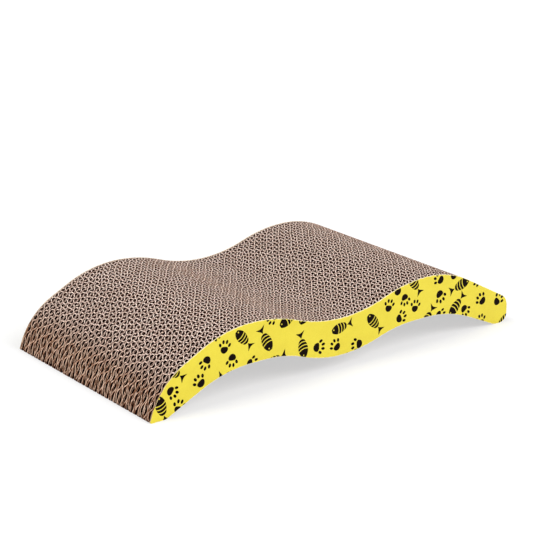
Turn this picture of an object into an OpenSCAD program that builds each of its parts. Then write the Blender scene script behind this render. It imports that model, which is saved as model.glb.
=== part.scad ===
// Wave-shaped cardboard cat scratcher, in millimetres.
// Upright corrugated boards are glued face to face, with a printed cover board on each side.
// +X runs from the nose to the tail, +Y from the near side to the far side, +Z up.

/* [Boards] */
// Width over all the boards and both covers
pad_w = 226; // [180:1:260]
// Number of corrugated boards that stand side by side
board_count = 34; // [12:1:56]
// Thickness of each printed cover board
cover_t = 1.1; // [0.5:0.1:3]

/* [Wave] */
// Length from the nose tip to the tail
pad_l = 430; // [360:5:520]
// Distance between the two crest lines
crest_gap = 210; // [180:5:230]
// Height of the top at the crests
crest_h = 69; // [62:0.5:80]
// Height of the top in the middle dip
dip_h = 50.5; // [44:0.5:56]
// Height of the underside below the middle dip
dip_clear = 14; // [8:0.5:18]
// Distance from a crest line to where its level top and its slope would meet
shoulder_l = 29; // [10:1:40]
// Distance from a crest line to where its level underside and the slope to the foot would meet
arch_l = 30; // [15:0.5:40]
// Length of the level underside from a crest line towards the dip
arch_flat = 14.5; // [4:0.5:30]
// Length of each foot, up to where the underside starts to rise
foot_l = 16.5; // [14:0.5:30]
// Radius between a foot and the rising underside
heel_r = 12; // [4:1:40]

/* [Nose] */
// Height where the sloping top meets the nose face
nose_h = 33.5; // [26:0.5:40]
// Lean of the nose face from the floor, in degrees
nose_lean = 70; // [60:1:80]
// Radius from the sloping top into the nose face
nose_r = 72; // [20:1:80]
// Radius of the nose tip at the floor
nose_foot_r = 1.5; // [0.5:0.5:3]
// Height of the underside below the crest next to the nose
nose_arch_h = 30.5; // [24:0.5:36]

/* [Tail] */
// Height where the sloping top meets the tail face
tail_h = 25; // [20:0.5:36]
// Lean of the tail face from the floor, in degrees
tail_lean = 90; // [60:1:90]
// Radius from the sloping top into the tail face
tail_r = 14; // [5:1:20]
// Radius of the tail corner at the floor
tail_foot_r = 9; // [0.5:0.5:10]
// Height of the underside below the crest next to the tail
tail_arch_h = 28; // [24:0.5:36]

/* [Hidden] */
// Widest gap between a facet and the true arc
facet_gap = 0.05;

function board_name(i) = str("board_", i < 10 ? "0" : "", i);

stack_w = pad_w - 2 * cover_t;
board_t = stack_w / board_count;
half_l = pad_l / 2;
crest_x = crest_gap / 2;
arch_x = crest_x - arch_flat;

// Radius of an S of two equal arcs that runs level at both ends
function s_radius(run, rise) = (run * run + rise * rise) / (4 * rise);
// Steepest slope of that S, where its two arcs meet
function s_slope(run, rise) = asin(run / (2 * s_radius(run, rise)));
top_r = s_radius(crest_x, crest_h - dip_h);
top_slope = s_slope(crest_x, crest_h - dip_h);

function heading(a) = [cos(a), sin(a)];

// Points along an arc, from angle a0 to angle a1
function arc(centre, r, a0, a1) =
    let (step = 2 * acos(1 - min(facet_gap / r, 1)))
    let (n = ceil(abs(a1 - a0) / step))
    [for (i = [0 : n]) centre + r * heading(a0 + (a1 - a0) * i / n)];

// Slope of the line that runs down from p to q
function slope(p, q) = atan2(p.y - q.y, q.x - p.x);

// Rounds the corner p, where a path that heads along a0 turns to a1
function corner(p, a0, a1, r) =
    let (side = sign(a1 - a0))
    let (start = p - heading(a0) * r * tan(abs(a1 - a0) / 2))
    arc(start + heading(a0 + 90 * side) * r, r, a0 - 90 * side, a1 - 90 * side);

// Radius r, or less where the straight lengths beside a turn of angle a leave less room
function radius(r, a, room) = min(r, room / tan(a / 2));

// Half the side view, clockwise: from the dip over a crest, down to the floor and back to the dip
function half_outline(face_h, lean, face_r, foot_r, arch_h) =
    let (tip = [half_l + foot_r * (1 / tan(lean / 2) - 1), 0])
    let (brow = tip + face_h * [-1 / tan(lean), 1])
    let (heel = [half_l - foot_l, 0])
    let (shoulder = [crest_x + shoulder_l, crest_h])
    let (ramp_slope = slope(shoulder, brow))
    let (arch = [crest_x + arch_l, arch_h])
    let (arch_slope = slope(arch, heel))
    let (ramp_room = norm(brow - shoulder) - shoulder_l)
    let (face_room = face_h / sin(lean) - foot_r / tan(lean / 2))
    let (brow_r = radius(face_r, lean - ramp_slope, min(ramp_room, face_room)))
    let (slope_room = norm(arch - heel) - arch_l)
    let (foot_room = foot_l - foot_r)
    let (rise_r = radius(heel_r, arch_slope, min(slope_room, foot_room)))
    let (under_r = s_radius(arch_x, arch_h - dip_clear))
    let (under_slope = s_slope(arch_x, arch_h - dip_clear))
    concat(
        arc([0, dip_h + top_r], top_r, -90, top_slope - 90),
        arc([crest_x, crest_h - top_r], top_r, 90 + top_slope, 90),
        corner(shoulder, 0, -ramp_slope, shoulder_l / tan(ramp_slope / 2)),
        corner(brow, -ramp_slope, -lean, brow_r),
        corner(tip, -lean, -180, foot_r),
        corner(heel, -180, -180 - arch_slope, rise_r),
        corner(arch, -180 - arch_slope, -180, arch_l / tan(arch_slope / 2)),
        arc([arch_x, arch_h - under_r], under_r, 90, 90 + under_slope),
        arc([0, dip_clear + under_r], under_r, under_slope - 90, -90)
    );

// Leaves out each point that repeats the one before it
function distinct(points) =
    [for (i = [0 : len(points) - 1]) if (i == 0 || norm(points[i] - points[i - 1]) > facet_gap) points[i]];

tail_half = distinct(half_outline(tail_h, tail_lean, tail_r, tail_foot_r, tail_arch_h));
nose_half = distinct(half_outline(nose_h, nose_lean, nose_r, nose_foot_r, nose_arch_h));
// The nose half runs the other way round, without the two points at the dip that the tail half has
nose_back = [for (i = [len(nose_half) - 2 : -1 : 1]) [-nose_half[i].x, nose_half[i].y]];
outline = concat(tail_half, nose_back);

// A sheet cut to the wave, whose near face lies at y
module wave_sheet(y, t) {
    translate([0, y + t, 0]) rotate([90, 0, 0]) linear_extrude(t) polygon(outline);
}

// Printed cover on the near side
module near_cover() {
    color("#f1de4b") wave_sheet(-stack_w / 2 - cover_t, cover_t);
}

// Printed cover on the far side
module far_cover() {
    color("#f1de4b") wave_sheet(stack_w / 2, cover_t);
}

// Corrugated board number i, counted from the near side
module board(i) {
    color("#cdb5a6") wave_sheet(-stack_w / 2 + (i - 1) * board_t, board_t);
}

near_cover();
far_cover();
for (i = [1 : board_count]) board(i);
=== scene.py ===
"""Looks of a wave-shaped cardboard cat scratcher: fluted boards, printed covers, light and camera.

Lengths are in metres. +X runs from the nose to the tail, +Y from the near side to the far side.
"""

import math

import bmesh
import bpy
import numpy as np
from mathutils import Matrix, Vector
from mathutils.geometry import delaunay_2d_cdt


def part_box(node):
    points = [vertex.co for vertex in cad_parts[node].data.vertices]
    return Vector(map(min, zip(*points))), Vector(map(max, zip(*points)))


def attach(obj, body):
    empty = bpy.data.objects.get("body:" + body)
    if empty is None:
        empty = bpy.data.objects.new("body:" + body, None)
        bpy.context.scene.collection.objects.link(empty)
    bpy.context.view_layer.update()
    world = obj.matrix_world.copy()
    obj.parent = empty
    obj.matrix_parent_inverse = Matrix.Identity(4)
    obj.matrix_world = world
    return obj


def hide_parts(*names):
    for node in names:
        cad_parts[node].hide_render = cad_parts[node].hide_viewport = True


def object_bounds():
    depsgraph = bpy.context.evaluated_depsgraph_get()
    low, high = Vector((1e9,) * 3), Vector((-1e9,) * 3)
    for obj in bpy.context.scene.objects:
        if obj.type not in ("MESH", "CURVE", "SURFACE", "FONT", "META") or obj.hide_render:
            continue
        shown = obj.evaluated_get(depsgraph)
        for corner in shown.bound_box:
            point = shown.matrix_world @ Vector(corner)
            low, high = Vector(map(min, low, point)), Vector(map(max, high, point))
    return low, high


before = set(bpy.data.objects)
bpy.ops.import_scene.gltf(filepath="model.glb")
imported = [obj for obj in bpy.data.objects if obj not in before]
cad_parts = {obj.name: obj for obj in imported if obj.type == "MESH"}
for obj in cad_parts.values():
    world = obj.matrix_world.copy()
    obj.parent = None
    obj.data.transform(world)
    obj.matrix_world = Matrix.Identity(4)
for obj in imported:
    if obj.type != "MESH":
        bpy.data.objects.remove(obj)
cad_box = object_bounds()

MM = 0.001
SEED = 11
WHITE = (1.0, 1.0, 1.0, 1.0)
# Least distance that keeps faces apart: at the wave's two ends, and between the object and the floor
LEAST_GAP = 0.02 * MM

# Outline of a CAD sheet: least tilt of its upper and lower faces, and decimals that tell points apart
LEAST_TILT = 0.01
OUTLINE_DECIMALS = 7

# Double-wall board: three flat liners with a wide and a narrow fluted layer between them
LINER_T = 0.30 * MM
FLUTED_T = 0.34 * MM
# Room for the glue between one board and the next
GLUE_GAP = 0.05 * MM
# Share of the room between the liners that the wide flutes take
WIDE_SHARE = 0.66
WIDE_PITCH = 7.7 * MM
NARROW_PITCH = 6.3 * MM
# Phases of a flute, in degrees, at which its middle line has a point
FLUTE_PHASES = (0, 14, 35, 90, 145, 166, 180, 194, 215, 270, 325, 346)
# How far each board's flutes are shifted against those of the board before it, and how much that varies
BOARD_SHIFT = 2.7 * MM
SHIFT_SPREAD = 0.9 * MM
# Flutes wander, lean and are pressed in a little, in bends of these lengths
FLUTE_WANDER = 0.7 * MM
FLUTE_WANDER_L = 38 * MM
FLUTE_LEAN = 0.55 * MM
FLUTE_LEAN_SPREAD = 0.35 * MM
FLUTE_LEAN_L = 17 * MM
FLUTE_PRESS_SHARE = 0.10
FLUTE_PRESS_L = 23 * MM
# Half lengths of the waves that are added up for this, as shares of the length of the bends
WANDER_SHARES = (0.55, 1.0, 1.8)
# Height that their sum seldom passes
WANDER_PEAK = 2
# A level cut squares the flutes, and a torn one leaves them wavy
LEVEL_SQUARENESS = 3.8
TORN_SQUARENESS = 0.7
# How much of its lean a flute loses where the cut is torn in full
TORN_LEAN_LOSS = 0.5

# The knife spreads the flutes at the cut: along the board where it is level, sideways where it is torn
RIM_SPREAD = 0.36 * MM
SIDE_SPREAD = 0.12 * MM
# How far below the wave's top the liners end, and the fluted layers, which vary
LINER_DROP = 0.20 * MM
FLUTED_DROP = 0.04 * MM
FLUTED_DROP_SPREAD = 0.04 * MM
# Depth below the cut down to which the walls have their own row of faces
RIM_BAND = 0.5 * MM
# The slope of a cut is measured this far to both sides
SLOPE_REACH = 0.5 * MM
# A cut counts as steep in full where its slope's cosine is this much below one, and this sets in with this
# power; a steep cut is torn in shape and browned by painted shade and warm painted bounce light
STEEP_IN_FULL = 0.42
STEEP_POWER = 1.5
# How much further the painted light reaches in at an upright cut, which lays the flutes open along their
# length
OPEN_REACH = 2.2
OPEN_POWER = 3
# Depths at which the painted shade leaves the inside of the board lit well, half, and hardly
LIT_DEPTHS = (0.06 * MM, 0.22 * MM, 0.6 * MM)
# Size of the paler and darker patches along a steep cut, partly frayed paper and partly painted shade
FRAY_AND_SHADE_SIZE = (2.2 * MM, 2.2 * MM, 6.0 * MM)
# Edges of a board that turn more than this are shaded as sharp
SHARP_ANGLE = math.radians(50)

# Printed covers: how far the ink stands out and sinks in, the bevel, and the worn rim beside it
INK_T = 0.04 * MM
INK_SINK = INK_T / 2
COVER_BEVEL = 0.12 * MM
COVER_WEAR = 0.30 * MM
# Where a cover is low, bevel and wear each take at most one part in this many of its height
COVER_PARTS = 5

# Print: fish and paws scattered in black on yellow, of about these lengths, times a random size
FISH_L = 27 * MM
PAW_L = 12.5 * MM
MOTIF_SIZES = (0.94, 1.06)
# Share of fish, how often a motif is tried at random, and how far the print stays off the cover's rim
FISH_SHARE = 0.6
PRINT_TRIES = 2500
PRINT_MARGIN = 0.25 * MM
# Radius of the room round a motif, and where along a fish it is kept
FISH_ROOM = 6.2 * MM
PAW_ROOM = 7.6 * MM
FISH_ROOM_SHARES = (-0.36, -0.12, 0.12, 0.36)
# Loops whose points lie closer than this are joined
JOIN_GAP = 1e-7

# A fish one unit long: its body, which is fuller and blunter for lower powers, its head, slices and eye
FISH_BODY_L = 0.85
FISH_HALF_H = 0.2
FISH_FULL_POWER = 0.8
FISH_BLUNT_POWER = 0.8
FISH_HEAD_END = 0.34
FISH_SLICE_STARTS = (0.38, 0.53, 0.68)
FISH_SLICE_L = 0.11
FISH_CUT_BOW = 0.05
FISH_EYE = (-0.38, 0.03)
FISH_EYE_SIZE = (0.026, 0.026)
# Upper half of its tail fin, from the tip at the body round to the notch
FISH_FIN = ((0.24, 0.0), (0.33, 0.045), (0.5, 0.19), (0.455, 0.06), (0.445, 0.0))

# A paw one unit long: its pad, which tapers upwards and sags in the middle, and its tilted toes
PAD_SIZE = (0.33, 0.26)
PAD_Z = -0.2
PAD_TAPER = 0.18
PAD_SAG = 0.06
TOE_SIZE = (0.11, 0.16)
TOES = ((-0.42, 0.12, 0.5), (-0.16, 0.36, 0.15), (0.16, 0.36, -0.15), (0.42, 0.12, -0.5))

# Camera: how far it turns from +Y and looks down, and where in view the near corner of the nose lies
IMAGE_SIZE = 533
CAMERA_TURN = math.radians(37.35)
CAMERA_RISE = math.radians(18.28)
FOCAL_PIXELS = 1735.9
TIP_PIXEL = (150.3, 424.3)
TIP_DEPTH = 1.5014
# Width of the camera's sensor, in the millimetres that Blender counts it in
SENSOR_W = 36.0

# Studio: a wide floor, light from all round, and distant lamps
FLOOR_HALF = 6.0
FLOOR_COLOUR = (0.86, 0.86, 0.86, 1)
# How much of the floor's shadow is lightened, as the photograph's white ground has none
FLOOR_GLOW_SHARE = 0.55
FILL_STRENGTH = 0.45
# Name of each lamp, the place it shines from, how soft its shadows are in degrees, and its strength
LAMPS = (
    ("key", (1.0, -1.45, 1.45), 35, 2.1),
    ("top", (-1.0, 0.5, 2.1), 37, 1.8),
)


def srgb(red, green, blue):
    """The linear colour, with alpha, of a screen colour from 0 to 255."""
    linear = []
    for value in (red, green, blue):
        share = value / 255
        linear.append(share / 12.92 if share <= 0.04045 else ((share + 0.055) / 1.055) ** 2.4)
    return (*linear, 1.0)


def add(tree, kind, inputs=None, **settings):
    """A new node with its settings, and its inputs as values or as sockets to link from."""
    node = tree.nodes.new(kind)
    for name, value in settings.items():
        setattr(node, name, value)
    for name, value in (inputs or {}).items():
        if isinstance(value, bpy.types.NodeSocket):
            tree.links.new(value, node.inputs[name])
        else:
            node.inputs[name].default_value = value
    return node


def noise(tree, spread, detail=4.0, roughness=0.6):
    """Noise from 0 to 1 whose features are about as long as spread says along each axis."""
    place = add(tree, "ShaderNodeTexCoord").outputs["Object"]
    scale = tuple(1 / length for length in spread)
    scaled = add(tree, "ShaderNodeMapping", {"Vector": place, "Scale": scale})
    inputs = {"Vector": scaled.outputs["Vector"], "Scale": 1.0, "Detail": detail, "Roughness": roughness}
    return add(tree, "ShaderNodeTexNoise", inputs).outputs["Fac"]


def ramp(tree, value, stops):
    """A colour for each value, from (value, colour) stops."""
    node = add(tree, "ShaderNodeValToRGB", {"Fac": value})
    elements = node.color_ramp.elements
    while len(elements) < len(stops):
        elements.new(0.5)
    for element, (position, colour) in zip(elements, stops):
        element.position = position
        element.color = colour
    return node.outputs["Color"]


def mix(tree, factor, first, second, blend="MIX"):
    """Two colours mixed by factor: the Mix node's colours are its sockets 6 and 7, and come out of 2."""
    inputs = {0: factor, 6: first, 7: second}
    return add(tree, "ShaderNodeMix", inputs, data_type="RGBA", blend_type=blend).outputs[2]


def tinted(tree, colour, tint):
    """A colour multiplied by a tint."""
    return mix(tree, 1.0, colour, tint, "MULTIPLY")


def calculate(tree, operation, first, second):
    """A number worked out from two others."""
    return add(tree, "ShaderNodeMath", {0: first, 1: second}, operation=operation).outputs[0]


def background_ray(tree):
    """1 for a ray that shows the background: from the camera, mirrored, or through something clear."""
    rays = add(tree, "ShaderNodeLightPath")
    shown = rays.outputs["Is Camera Ray"]
    for kind in ("Is Glossy Ray", "Is Transmission Ray"):
        shown = calculate(tree, "MAXIMUM", shown, rays.outputs[kind])
    return shown


def mixed_shaders(tree, share, first, second):
    """What comes out of two shader nodes, with that share of the second."""
    inputs = {0: share, 1: first.outputs[0], 2: second.outputs[0]}
    return add(tree, "ShaderNodeMixShader", inputs).outputs[0]


def new_material(name):
    """A material with its node tree and its Principled shader."""
    material = bpy.data.materials.new(name)
    material.use_nodes = True
    tree = material.node_tree
    return material, tree, tree.nodes["Principled BSDF"]


def surface(tree, shader, colour, bump, bump_depth, roughness, specular):
    """Sets a shader's colour, bump and gloss."""
    tree.links.new(colour, shader.inputs["Base Color"])
    inputs = {"Height": bump, "Strength": 1.0, "Distance": bump_depth}
    tree.links.new(add(tree, "ShaderNodeBump", inputs).outputs["Normal"], shader.inputs["Normal"])
    shader.inputs["Roughness"].default_value = roughness
    shader.inputs["Specular IOR Level"].default_value = specular


def painted_inside_shade(tree, fray_and_shade_dark, fray_and_shade_light):
    """Painted shade of a point in a board: white at a level cut; browned at a steep cut by painted shade
    and warm painted bounce light, in patches that are partly frayed paper; darkened deep inside by painted
    shade of the flutes.
    """
    stored = add(tree, "ShaderNodeAttribute", attribute_name="cut_depth").outputs["Vector"]
    parts = add(tree, "ShaderNodeSeparateXYZ", {"Vector": stored})
    depth = calculate(tree, "MINIMUM", parts.outputs["X"], parts.outputs["Y"])
    share = calculate(tree, "DIVIDE", depth, LIT_DEPTHS[-1])
    # Painted shade: white at the cut, brown a little deeper, and near black deep inside the flutes
    tones = (WHITE, srgb(112, 70, 52), srgb(28, 8, 4))
    stops = [(lit_depth / LIT_DEPTHS[-1], tone) for lit_depth, tone in zip(LIT_DEPTHS, tones)]
    # Painted shade and warm painted bounce light: a steep cut is browned, in paler and darker patches that
    # are partly frayed paper and partly painted shade
    fray_and_shade_patches = ramp(tree, noise(tree, FRAY_AND_SHADE_SIZE), [(0.41, fray_and_shade_dark), (0.55, fray_and_shade_light)])
    steep_cut = mix(tree, parts.outputs["Z"], WHITE, fray_and_shade_patches)
    return tinted(tree, ramp(tree, share, stops), steep_cut)


def kraft_paper():
    """Brown paper of the liners and the fluted layers: fibres, faint tone changes, and painted shade that
    darkens it deep inside and browns it on steep cuts, with warm painted bounce light.
    """
    material, tree, shader = new_material("kraft_paper")
    fibre = noise(tree, (3.0 * MM, 0.5 * MM, 0.5 * MM))
    tone = noise(tree, (30 * MM, 7 * MM, 30 * MM), detail=2.0)
    fibres = ramp(tree, fibre, [(0.3, srgb(190, 140, 110)), (0.7, srgb(226, 180, 150))])
    tones = ramp(tree, tone, [(0.35, srgb(222, 214, 208)), (0.65, WHITE)])
    # Painted shade: dark deep inside, and browner with warm painted bounce light on steep cuts
    painted_shade_tint = painted_inside_shade(tree, srgb(92, 50, 32), srgb(142, 86, 58))
    colour = tinted(tree, tinted(tree, fibres, tones), painted_shade_tint)
    surface(tree, shader, colour, bump=fibre, bump_depth=0.03 * MM, roughness=0.92, specular=0.1)
    return material


def cut_paper():
    """Cut edge of the paper: pale, browned on steep cuts by painted shade and warm painted bounce light,
    and darkened deep inside by painted shade.
    """
    material, tree, shader = new_material("cut_paper")
    fibre = noise(tree, (0.6 * MM, 0.6 * MM, 0.6 * MM))
    tone = noise(tree, (14 * MM, 4 * MM, 14 * MM), detail=2.0)
    fibres = ramp(tree, fibre, [(0.3, srgb(243, 215, 199)), (0.65, srgb(255, 241, 231))])
    tones = ramp(tree, tone, [(0.3, srgb(226, 218, 212)), (0.7, WHITE)])
    # Painted shade: dark deep inside, and browner with warm painted bounce light on steep cuts
    painted_shade_tint = painted_inside_shade(tree, srgb(160, 120, 94), srgb(252, 234, 218))
    colour = tinted(tree, tinted(tree, fibres, tones), painted_shade_tint)
    surface(tree, shader, colour, bump=fibre, bump_depth=0.08 * MM, roughness=0.95, specular=0.15)
    return material


def yellow_print():
    """Yellow printed face, slightly mottled, with a faint satin gloss."""
    material, tree, shader = new_material("yellow_print")
    grain = noise(tree, (0.7 * MM, 0.7 * MM, 0.7 * MM))
    cloud = noise(tree, (26 * MM, 26 * MM, 18 * MM), detail=3.0)
    grains = ramp(tree, grain, [(0.3, srgb(220, 203, 52)), (0.7, srgb(228, 211, 62))])
    clouds = ramp(tree, cloud, [(0.3, srgb(248, 246, 240)), (0.7, WHITE)])
    colour = tinted(tree, grains, clouds)
    surface(tree, shader, colour, bump=grain, bump_depth=0.02 * MM, roughness=0.55, specular=0.35)
    return material


def worn_print():
    """Rim of the print, where the cut has chipped the ink off the white board."""
    material, tree, shader = new_material("worn_print")
    chips = noise(tree, (1.6 * MM, 1.6 * MM, 1.6 * MM))
    colour = ramp(tree, chips, [(0.47, srgb(242, 224, 76)), (0.60, srgb(238, 230, 200))])
    surface(tree, shader, colour, bump=chips, bump_depth=0.06 * MM, roughness=0.75, specular=0.25)
    return material


def cover_edge():
    """Cut edge of the cover board: pale, in thin layers, browned on steep cuts by painted shade and warm
    painted bounce light, and darkened deep inside by painted shade.
    """
    material, tree, shader = new_material("cover_edge")
    layers = noise(tree, (9 * MM, 0.22 * MM, 9 * MM))
    tones = ramp(tree, layers, [(0.35, srgb(188, 168, 140)), (0.6, srgb(232, 218, 190))])
    # Painted shade: dark deep inside, and browner with warm painted bounce light on steep cuts
    painted_shade_tint = painted_inside_shade(tree, srgb(120, 84, 62), srgb(206, 178, 150))
    colour = tinted(tree, tones, painted_shade_tint)
    surface(tree, shader, colour, bump=layers, bump_depth=0.06 * MM, roughness=0.92, specular=0.2)
    return material


def black_ink():
    """Black printing ink with a thin, uneven film."""
    material, tree, shader = new_material("black_ink")
    film = noise(tree, (1.1 * MM, 1.1 * MM, 1.1 * MM))
    colour = ramp(tree, film, [(0.35, srgb(10, 4, 2)), (0.75, srgb(24, 11, 7))])
    surface(tree, shader, colour, bump=film, bump_depth=0.01 * MM, roughness=0.6, specular=0.04)
    return material


def wave_profile(node):
    """The wave's top and bottom line, each as x and z sorted by x, read from the sides of a CAD sheet."""
    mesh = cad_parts[node].data
    points = {"top": set(), "bottom": set()}
    for face in mesh.polygons:
        if abs(face.normal.z) < LEAST_TILT:
            continue
        side = points["top" if face.normal.z > 0 else "bottom"]
        for index in face.vertices:
            place = mesh.vertices[index].co
            side.add((round(place.x, OUTLINE_DECIMALS), round(place.z, OUTLINE_DECIMALS)))
    return {side: np.array(sorted(found)).T for side, found in points.items()}


PROFILE = wave_profile("near_cover")
NOSE_X = PROFILE["top"][0].min() + LEAST_GAP
TAIL_X = PROFILE["top"][0].max() - LEAST_GAP


def top(x):
    """Height of the wave's top at x."""
    return np.interp(x, *PROFILE["top"])


def bottom(x):
    """Height of the wave's underside at x."""
    return np.interp(x, *PROFILE["bottom"])


def profile_columns():
    """Each x at which the wave's outline has a point."""
    columns = np.union1d(PROFILE["top"][0], PROFILE["bottom"][0])
    return np.unique(np.clip(columns, NOSE_X, TAIL_X))


def slope_share(x, height):
    """Cosine of a cut's slope at x: how deep a point lies behind it for each unit straight below it."""
    before = np.maximum(x - SLOPE_REACH, NOSE_X)
    after = np.minimum(x + SLOPE_REACH, TAIL_X)
    return 1 / np.hypot(1, (height(after) - height(before)) / (after - before))


def steep_share(x):
    """How steep the top is at x, from 0 where it runs level to 1 where it runs steeply: it shapes the torn
    flutes, and sets the painted shade and warm painted bounce light of a steep cut.
    """
    return np.minimum((1 - slope_share(x, top)) / STEEP_IN_FULL, 1) ** STEEP_POWER


def loft(rings, slots, cap_slot):
    """A closed solid through rings of points, as (vertices, faces, slots), one slot for each side."""
    count, sides = rings.shape[:2]
    faces = []
    face_slots = []
    for ring in range(count - 1):
        for side in range(sides):
            after = (side + 1) % sides
            here = ring * sides
            there = here + sides
            faces.append((here + side, there + side, there + after, here + after))
            face_slots.append(slots[side])
    faces.append(tuple(range(sides)))
    faces.append(tuple(reversed(range((count - 1) * sides, count * sides))))
    face_slots += [cap_slot, cap_slot]
    return rings.reshape(-1, 3), faces, face_slots


def store_cut_depth(mesh):
    """Keeps at each point how deep it lies behind the underside and the top, for the painted shade deep
    inside, and how steep the top is, for the painted shade and bounce light of steep cuts.
    """
    places = np.empty(len(mesh.vertices) * 3)
    mesh.vertices.foreach_get("co", places)
    x, _, z = places.reshape(-1, 3).T
    end_gap = np.minimum(x - NOSE_X, TAIL_X - x)
    depths = []
    for height, side in ((bottom, -1), (top, 1)):
        share = slope_share(x, height)
        depth = np.minimum(side * (height(x) - z) * share, end_gap)
        depths.append(depth / (1 + OPEN_REACH * (1 - share) ** OPEN_POWER))
    attribute = mesh.attributes.new("cut_depth", "FLOAT_VECTOR", "POINT")
    attribute.data.foreach_set("vector", np.stack([*depths, steep_share(x)], axis=1).ravel())


def make_mesh(name, solids, materials):
    """One mesh of several solids from loft, with the depth of each point behind the cuts."""
    vertices = []
    faces = []
    slots = []
    for places, solid_faces, solid_slots in solids:
        start = len(vertices)
        vertices += places.tolist()
        faces += [tuple(start + index for index in face) for face in solid_faces]
        slots += solid_slots
    mesh = bpy.data.meshes.new(name)
    mesh.from_pydata(vertices, [], faces)
    for material in materials:
        mesh.materials.append(material)
    mesh.polygons.foreach_set("material_index", slots)
    mesh.update()
    store_cut_depth(mesh)
    return mesh


def make_piece(name, mesh, slot, *nodes):
    """A piece of the object that rides on its body and stands for CAD nodes."""
    piece = bpy.data.objects.new(name, mesh)
    bpy.context.scene.collection.objects.link(piece)
    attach(piece, "root")
    if nodes:
        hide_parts(*nodes)
    return piece


def wander(x, size, length, rng):
    """A smooth random curve of about that size, whose bends are about that long."""
    phases = [(share, rng.uniform(0, 2 * math.pi)) for share in WANDER_SHARES]
    waves = [np.sin(math.pi * x / (length * share) + phase) for share, phase in phases]
    return size * sum(waves) / WANDER_PEAK


# Materials of a board, and of each side of a layer: up the near face, over the top, down, and below
WALL, RIM = 0, 1
LAYER_SLOTS = [WALL, WALL, RIM, WALL, WALL, RIM]


def face_rows(wall, rim, drop):
    """Rows of points up one face of a layer: at the underside, a band below the cut, and at the cut."""
    rows = []
    for row, (x, y) in enumerate((wall, wall, rim)):
        low = bottom(x)
        high = np.maximum(top(x) - drop, low + LEAST_GAP)
        band = np.maximum(high - RIM_BAND / slope_share(x, top), (low + high) / 2)
        rows.append(np.stack([x, y, (low, band, high)[row]], axis=1))
    return rows


def upright_layer(walls, rims, drop):
    """A layer of paper that stands upright between the wave's underside and its top.

    walls and rims hold x and y along the near and the far face, below the cut and at the cut.
    drop says how far the rim lies below the wave's top.
    """
    near, far = (face_rows(wall, rim, drop) for wall, rim in zip(walls, rims))
    return loft(np.stack(near + far[::-1], axis=1), LAYER_SLOTS, RIM)


def flat_layer(near, far):
    """A flat liner between two values of y."""
    x = profile_columns()
    walls = [(x, np.full_like(x, near)), (x, np.full_like(x, far))]
    return upright_layer(walls, walls, LINER_DROP)


def both_faces(x, y, along_reach, side_reach):
    """The near and the far face of a bent layer, so far from its middle line in x and in y."""
    along = np.stack([np.gradient(x), np.gradient(y)])
    along /= np.hypot(*along)
    return [
        (np.clip(x - side * along_reach * along[1], NOSE_X, TAIL_X), y + side * side_reach * along[0])
        for side in (-1, 1)
    ]


def flute_line(near, far, pitch, shift, rng):
    """Middle line of a fluted layer that touches y = near and y = far in turn, as x and y."""
    first = math.floor((NOSE_X + shift) / pitch) - 1
    last = math.ceil((TAIL_X + shift) / pitch) + 1
    turn = np.radians(np.add.outer(360 * np.arange(first, last), FLUTE_PHASES).ravel())
    x = turn / (2 * math.pi) * pitch - shift
    x += wander(x, FLUTE_WANDER, FLUTE_WANDER_L, rng)
    steep_cut = steep_share(np.clip(x, NOSE_X, TAIL_X))
    squareness = LEVEL_SQUARENESS + (TORN_SQUARENESS - LEVEL_SQUARENESS) * steep_cut
    side = np.tanh(squareness * np.sin(turn)) / np.tanh(squareness)
    press = 1 - np.abs(wander(x, FLUTE_PRESS_SHARE, FLUTE_PRESS_L, rng))
    y = (near + far) / 2 + (far - near - FLUTED_T) / 2 * press * side
    lean = FLUTE_LEAN + wander(x, FLUTE_LEAN_SPREAD, FLUTE_LEAN_L, rng)
    x += side * (1 - steep_cut * TORN_LEAN_LOSS) * lean
    within = np.flatnonzero((x > NOSE_X) & (x < TAIL_X))
    kept = slice(within[0], within[-1] + 1)
    return x[kept], y[kept]


def fluted_layer(near, far, pitch, shift, rng):
    """A fluted layer between two values of y, which the knife has spread at the cut."""
    x, y = flute_line(near, far, pitch, shift, rng)
    drop = FLUTED_DROP + rng.uniform(-1, 1, len(x)) * FLUTED_DROP_SPREAD
    half_t = FLUTED_T / 2
    rim_reach = half_t + RIM_SPREAD * slope_share(x, top)
    side_reach = half_t + SIDE_SPREAD * steep_share(x)
    return upright_layer(both_faces(x, y, half_t, half_t), both_faces(x, y, rim_reach, side_reach), drop)


def fluted_board(number, node, materials):
    """A double-wall board: liner, wide flutes, liner, narrow flutes, liner."""
    rng = np.random.default_rng(SEED + number)
    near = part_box(node)[0].y + GLUE_GAP / 2
    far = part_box(node)[1].y - GLUE_GAP / 2
    middle = near + LINER_T + WIDE_SHARE * (far - near - 3 * LINER_T)
    shift = number * BOARD_SHIFT + rng.uniform(-1, 1) * SHIFT_SPREAD
    layers = [
        flat_layer(near, near + LINER_T),
        fluted_layer(near + LINER_T, middle, WIDE_PITCH, shift, rng),
        flat_layer(middle, middle + LINER_T),
        fluted_layer(middle + LINER_T, far - LINER_T, NARROW_PITCH, rng.uniform(0, NARROW_PITCH), rng),
        flat_layer(far - LINER_T, far),
    ]
    mesh = make_mesh(f"fluted_{node}", layers, materials)
    mesh.shade_smooth()
    mesh.set_sharp_from_angle(angle=SHARP_ANGLE)
    return make_piece(f"fluted_{node}", mesh, "corrugated_board", node)


def cover_sides(node):
    """Which way along Y a cover looks out, and the y of its outer and of its hidden face."""
    low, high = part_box(node)
    return (-1, low.y, high.y) if low.y < 0 else (1, high.y, low.y)


# Materials of a cover
PRINT, WORN, EDGE = 0, 1, 2


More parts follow.
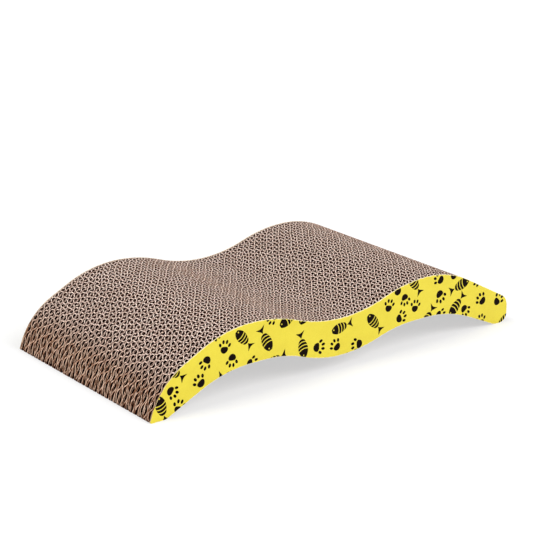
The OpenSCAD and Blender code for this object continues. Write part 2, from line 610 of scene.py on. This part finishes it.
def printed_cover(node, materials):
    """A cover board with bevelled, worn edges, whose printed face leaves room for the ink."""
    outward, outer, back = cover_sides(node)
    face = outer - outward * INK_T
    bevel_y = face - outward * COVER_BEVEL
    x = profile_columns()
    room = (top(x) - bottom(x)) / COVER_PARTS
    bevel = np.minimum(COVER_BEVEL, room)
    wear = bevel + np.minimum(COVER_WEAR, room)
    # Each corner of the section has the material of the side that follows it
    section = [
        (face, bottom(x) + wear, PRINT),
        (face, top(x) - wear, WORN),
        (face, top(x) - bevel, WORN),
        (bevel_y, top(x), EDGE),
        (back, top(x), EDGE),
        (back, bottom(x), EDGE),
        (bevel_y, bottom(x), WORN),
        (face, bottom(x) + bevel, WORN),
    ]
    rings = np.stack([np.stack([x, np.full_like(x, y), z], axis=1) for y, z, _ in section], axis=1)
    if outward > 0:
        rings = rings[::-1]
    mesh = make_mesh(f"printed_{node}", [loft(rings, [slot for _, _, slot in section], EDGE)], materials)
    return make_piece(f"printed_{node}", mesh, "cover_board", node)


def turns(count):
    """Angles spread evenly over one turn."""
    return np.linspace(0, 2 * math.pi, count, endpoint=False)


def ellipse(centre, size, tilt=0.0, count=20):
    """Points round an ellipse."""
    angles = turns(count)
    x = size[0] * np.cos(angles)
    y = size[1] * np.sin(angles)
    return np.stack([
        centre[0] + x * math.cos(tilt) - y * math.sin(tilt),
        centre[1] + x * math.sin(tilt) + y * math.cos(tilt),
    ], axis=1)


def fish():
    """Closed outlines of a fish one unit long: a head with an eye, slices of its body, and a tail fin."""
    def half_height(share):
        return FISH_HALF_H * np.sin(math.pi * share ** FISH_BLUNT_POWER) ** FISH_FULL_POWER

    def along_body(share):
        return share * FISH_BODY_L - 0.5

    def cut(share, count=7):
        height = float(half_height(share))
        z = np.linspace(height, -height, count)
        return np.stack([along_body(share) + FISH_CUT_BOW * (1 - (z / height) ** 2), z], axis=1)

    def slice_between(start, end, count=10):
        shares = np.linspace(start, end, count)
        upper = np.stack([along_body(shares), half_height(shares)], axis=1)
        lower = upper[::-1] * (1, -1)
        front = cut(start)[::-1] if start > 0 else np.empty((0, 2))
        return np.concatenate([upper, cut(end)[1:-1], lower, front[1:-1]])

    head = slice_between(0.0, FISH_HEAD_END)[1:-1]
    slices = [slice_between(start, start + FISH_SLICE_L) for start in FISH_SLICE_STARTS]
    eye = ellipse(FISH_EYE, FISH_EYE_SIZE, count=12)
    fin = np.array(FISH_FIN)
    return [head, *slices, eye, np.concatenate([fin, fin[-2:0:-1] * (1, -1)])]


def paw():
    """Closed outlines of a paw print one unit long: a pad and four toes."""
    angles = turns(28)
    pad = np.stack([
        PAD_SIZE[0] * np.cos(angles) * (1 - PAD_TAPER * np.sin(angles)),
        PAD_Z + PAD_SIZE[1] * np.sin(angles) + PAD_SAG * np.cos(2 * angles),
    ], axis=1)
    return [pad, *(ellipse((x, z), TOE_SIZE, tilt) for x, z, tilt in TOES)]


def print_layout(rng):
    """Loops of every motif of one cover, as x and z, set down at random where nothing lies yet."""
    fish_motif = (fish(), FISH_L, FISH_ROOM, FISH_ROOM_SHARES)
    paw_motif = (paw(), PAW_L, PAW_ROOM, (0.0,))
    high_z = float(PROFILE["top"][1].max())
    loops = []
    taken = []
    for _ in range(PRINT_TRIES):
        outlines, length, radius, room_shares = fish_motif if rng.random() < FISH_SHARE else paw_motif
        place = np.array([rng.uniform(NOSE_X, TAIL_X), rng.uniform(0, high_z)])
        turn = rng.uniform(0, 2 * math.pi)
        size = length * rng.uniform(*MOTIF_SIZES)
        along = np.array([math.cos(turn), math.sin(turn)]) * size
        discs = [place + along * share for share in room_shares]
        if any(np.linalg.norm(disc - spot) < radius + room for disc in discs for spot, room in taken):
            continue
        taken += [(disc, radius) for disc in discs]
        spin = np.array([[math.cos(turn), math.sin(turn)], [-math.sin(turn), math.cos(turn)]])
        loops += [place + size * outline @ spin for outline in outlines]
    return loops


def inside(points, loop):
    """Which points lie inside a closed loop."""
    x, y = points.T
    found = np.zeros(len(points), bool)
    for (x0, y0), (x1, y1) in zip(loop, np.roll(loop, -1, axis=0)):
        if y0 != y1:
            found ^= ((y0 > y) != (y1 > y)) & (x < x0 + (y - y0) * (x1 - x0) / (y1 - y0))
    return found


def plate_solid(flat, triangles, near, far):
    """A closed solid between two values of y over flat triangles, whose near side faces -Y."""
    count = len(flat)
    vertices = [(x, near, z) for x, z in flat] + [(x, far, z) for x, z in flat]
    faces = [tuple(triangle) for triangle in triangles]
    faces += [tuple(count + index for index in reversed(triangle)) for triangle in triangles]
    sides = {(a, b) for triangle in triangles for a, b in zip(triangle, np.roll(triangle, -1))}
    faces += [(b, a, count + a, count + b) for a, b in sides if (b, a) not in sides]
    return vertices, faces


def print_edge():
    """Closed outline of the room for the print on a cover, as x and z."""
    x = profile_columns()[1:-1]
    low = np.stack([x, bottom(x) + PRINT_MARGIN], axis=1)
    high = np.stack([x, top(x) - PRINT_MARGIN], axis=1)
    has_room = low[:, 1] < high[:, 1]
    return np.concatenate([low[has_room], high[has_room][::-1]])


def clipped_plates(loops, edge, near, far):
    """Plates between two values of y, filled between loops and clipped to an edge, as (vertices, faces)."""
    points = []
    edges = []
    for loop in [edge, *loops]:
        start = len(points)
        points += [Vector(point) for point in loop]
        edges += [(start + index, start + (index + 1) % len(loop)) for index in range(len(loop))]
    flat, _, triangles, *_ = delaunay_2d_cdt(points, edges, [], 0, JOIN_GAP)
    flat = np.array([tuple(point) for point in flat])
    triangles = np.array(triangles)
    centres = flat[triangles].mean(axis=1)
    inked = np.zeros(len(centres), bool)
    for loop in loops:
        inked ^= inside(centres, loop)
    return plate_solid(flat, triangles[inked & inside(centres, edge)], near, far)


def drop_loose_points(mesh):
    """Deletes the points that no face uses."""
    shape = bmesh.new()
    shape.from_mesh(mesh)
    bmesh.ops.delete(shape, geom=[point for point in shape.verts if not point.link_faces], context="VERTS")
    shape.to_mesh(mesh)
    shape.free()


def cover_print(name, node, seed, material):
    """The ink on one cover's outer face."""
    outward, outer, _ = cover_sides(node)
    near, far = sorted((outer, outer - outward * (INK_T + INK_SINK)))
    loops = print_layout(np.random.default_rng(seed))
    vertices, faces = clipped_plates(loops, print_edge(), near, far)
    mesh = bpy.data.meshes.new(name)
    mesh.from_pydata(vertices, [], faces)
    mesh.materials.append(material)
    drop_loose_points(mesh)
    return make_piece(name, mesh, "print_ink")


def make_floor():
    """A white floor that keeps the object's soft shadow."""
    mesh = bpy.data.meshes.new("floor")
    corners = [(x * FLOOR_HALF, y * FLOOR_HALF, 0) for x, y in ((-1, -1), (1, -1), (1, 1), (-1, 1))]
    mesh.from_pydata(corners, [], [(0, 1, 2, 3)])
    floor = bpy.data.objects.new("floor", mesh)
    floor.location.z = -LEAST_GAP
    bpy.context.scene.collection.objects.link(floor)
    material, tree, shader = new_material("floor_white")
    shader.inputs["Base Color"].default_value = FLOOR_COLOUR
    shader.inputs["Roughness"].default_value = 1.0
    shader.inputs["Specular IOR Level"].default_value = 0.0
    glow = add(tree, "ShaderNodeEmission", {"Color": WHITE, "Strength": 1.0})
    share = calculate(tree, "MULTIPLY", background_ray(tree), FLOOR_GLOW_SHARE)
    output = tree.nodes["Material Output"]
    tree.links.new(mixed_shaders(tree, share, shader, glow), output.inputs["Surface"])
    mesh.materials.append(material)


def make_world():
    """White where it is seen, and a soft even fill where it lights the object."""
    world = bpy.data.worlds.new("studio")
    bpy.context.scene.world = world
    world.use_nodes = True
    tree = world.node_tree
    tree.nodes.clear()
    fill = add(tree, "ShaderNodeBackground", {"Color": WHITE, "Strength": FILL_STRENGTH})
    seen = add(tree, "ShaderNodeBackground", {"Color": WHITE, "Strength": 1.0})
    add(tree, "ShaderNodeOutputWorld", {"Surface": mixed_shaders(tree, background_ray(tree), fill, seen)})


def make_lamp(name, place, softness, strength):
    """A distant lamp that shines from a place towards the object, with soft shadows."""
    data = bpy.data.lights.new(name, "SUN")
    data.angle = math.radians(softness)
    data.energy = strength
    lamp = bpy.data.objects.new(name, data)
    lamp.location = place
    lamp.rotation_euler = (-Vector(place)).to_track_quat("-Z", "Y").to_euler()
    bpy.context.scene.collection.objects.link(lamp)


def make_camera():
    """The photograph's camera, placed so that the near corner of the nose falls on its pixel."""
    turn_sin, turn_cos = math.sin(CAMERA_TURN), math.cos(CAMERA_TURN)
    rise_sin, rise_cos = math.sin(CAMERA_RISE), math.cos(CAMERA_RISE)
    right = Vector((turn_cos, -turn_sin, 0))
    forward = Vector((turn_sin * rise_cos, turn_cos * rise_cos, -rise_sin))
    up = right.cross(forward)
    tip = Vector((cad_box[0].x, cad_box[0].y, 0))
    across, down = ((pixel - IMAGE_SIZE / 2) / FOCAL_PIXELS * TIP_DEPTH for pixel in TIP_PIXEL)
    data = bpy.data.cameras.new("camera")
    data.sensor_width = SENSOR_W
    data.lens = FOCAL_PIXELS / IMAGE_SIZE * SENSOR_W
    camera = bpy.data.objects.new("camera", data)
    axes = Matrix((right, up, -forward)).transposed().to_4x4()
    camera.matrix_world = Matrix.Translation(tip - across * right + down * up - TIP_DEPTH * forward) @ axes
    bpy.context.scene.collection.objects.link(camera)
    bpy.context.scene.camera = camera


make_camera()
make_world()
make_floor()
for lamp in LAMPS:
    make_lamp(*lamp)

paper = [kraft_paper(), cut_paper()]
cover = [yellow_print(), worn_print(), cover_edge()]
ink = black_ink()
boards = sorted(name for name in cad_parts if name.startswith("board_"))
for number, node in enumerate(boards):
    fluted_board(number, node, paper)
for node in ("near_cover", "far_cover"):
    printed_cover(node, cover)
cover_print("near_print", "near_cover", SEED, ink)
cover_print("far_print", "far_cover", SEED + 1, ink)

bpy.context.scene.view_settings.view_transform = "Standard"
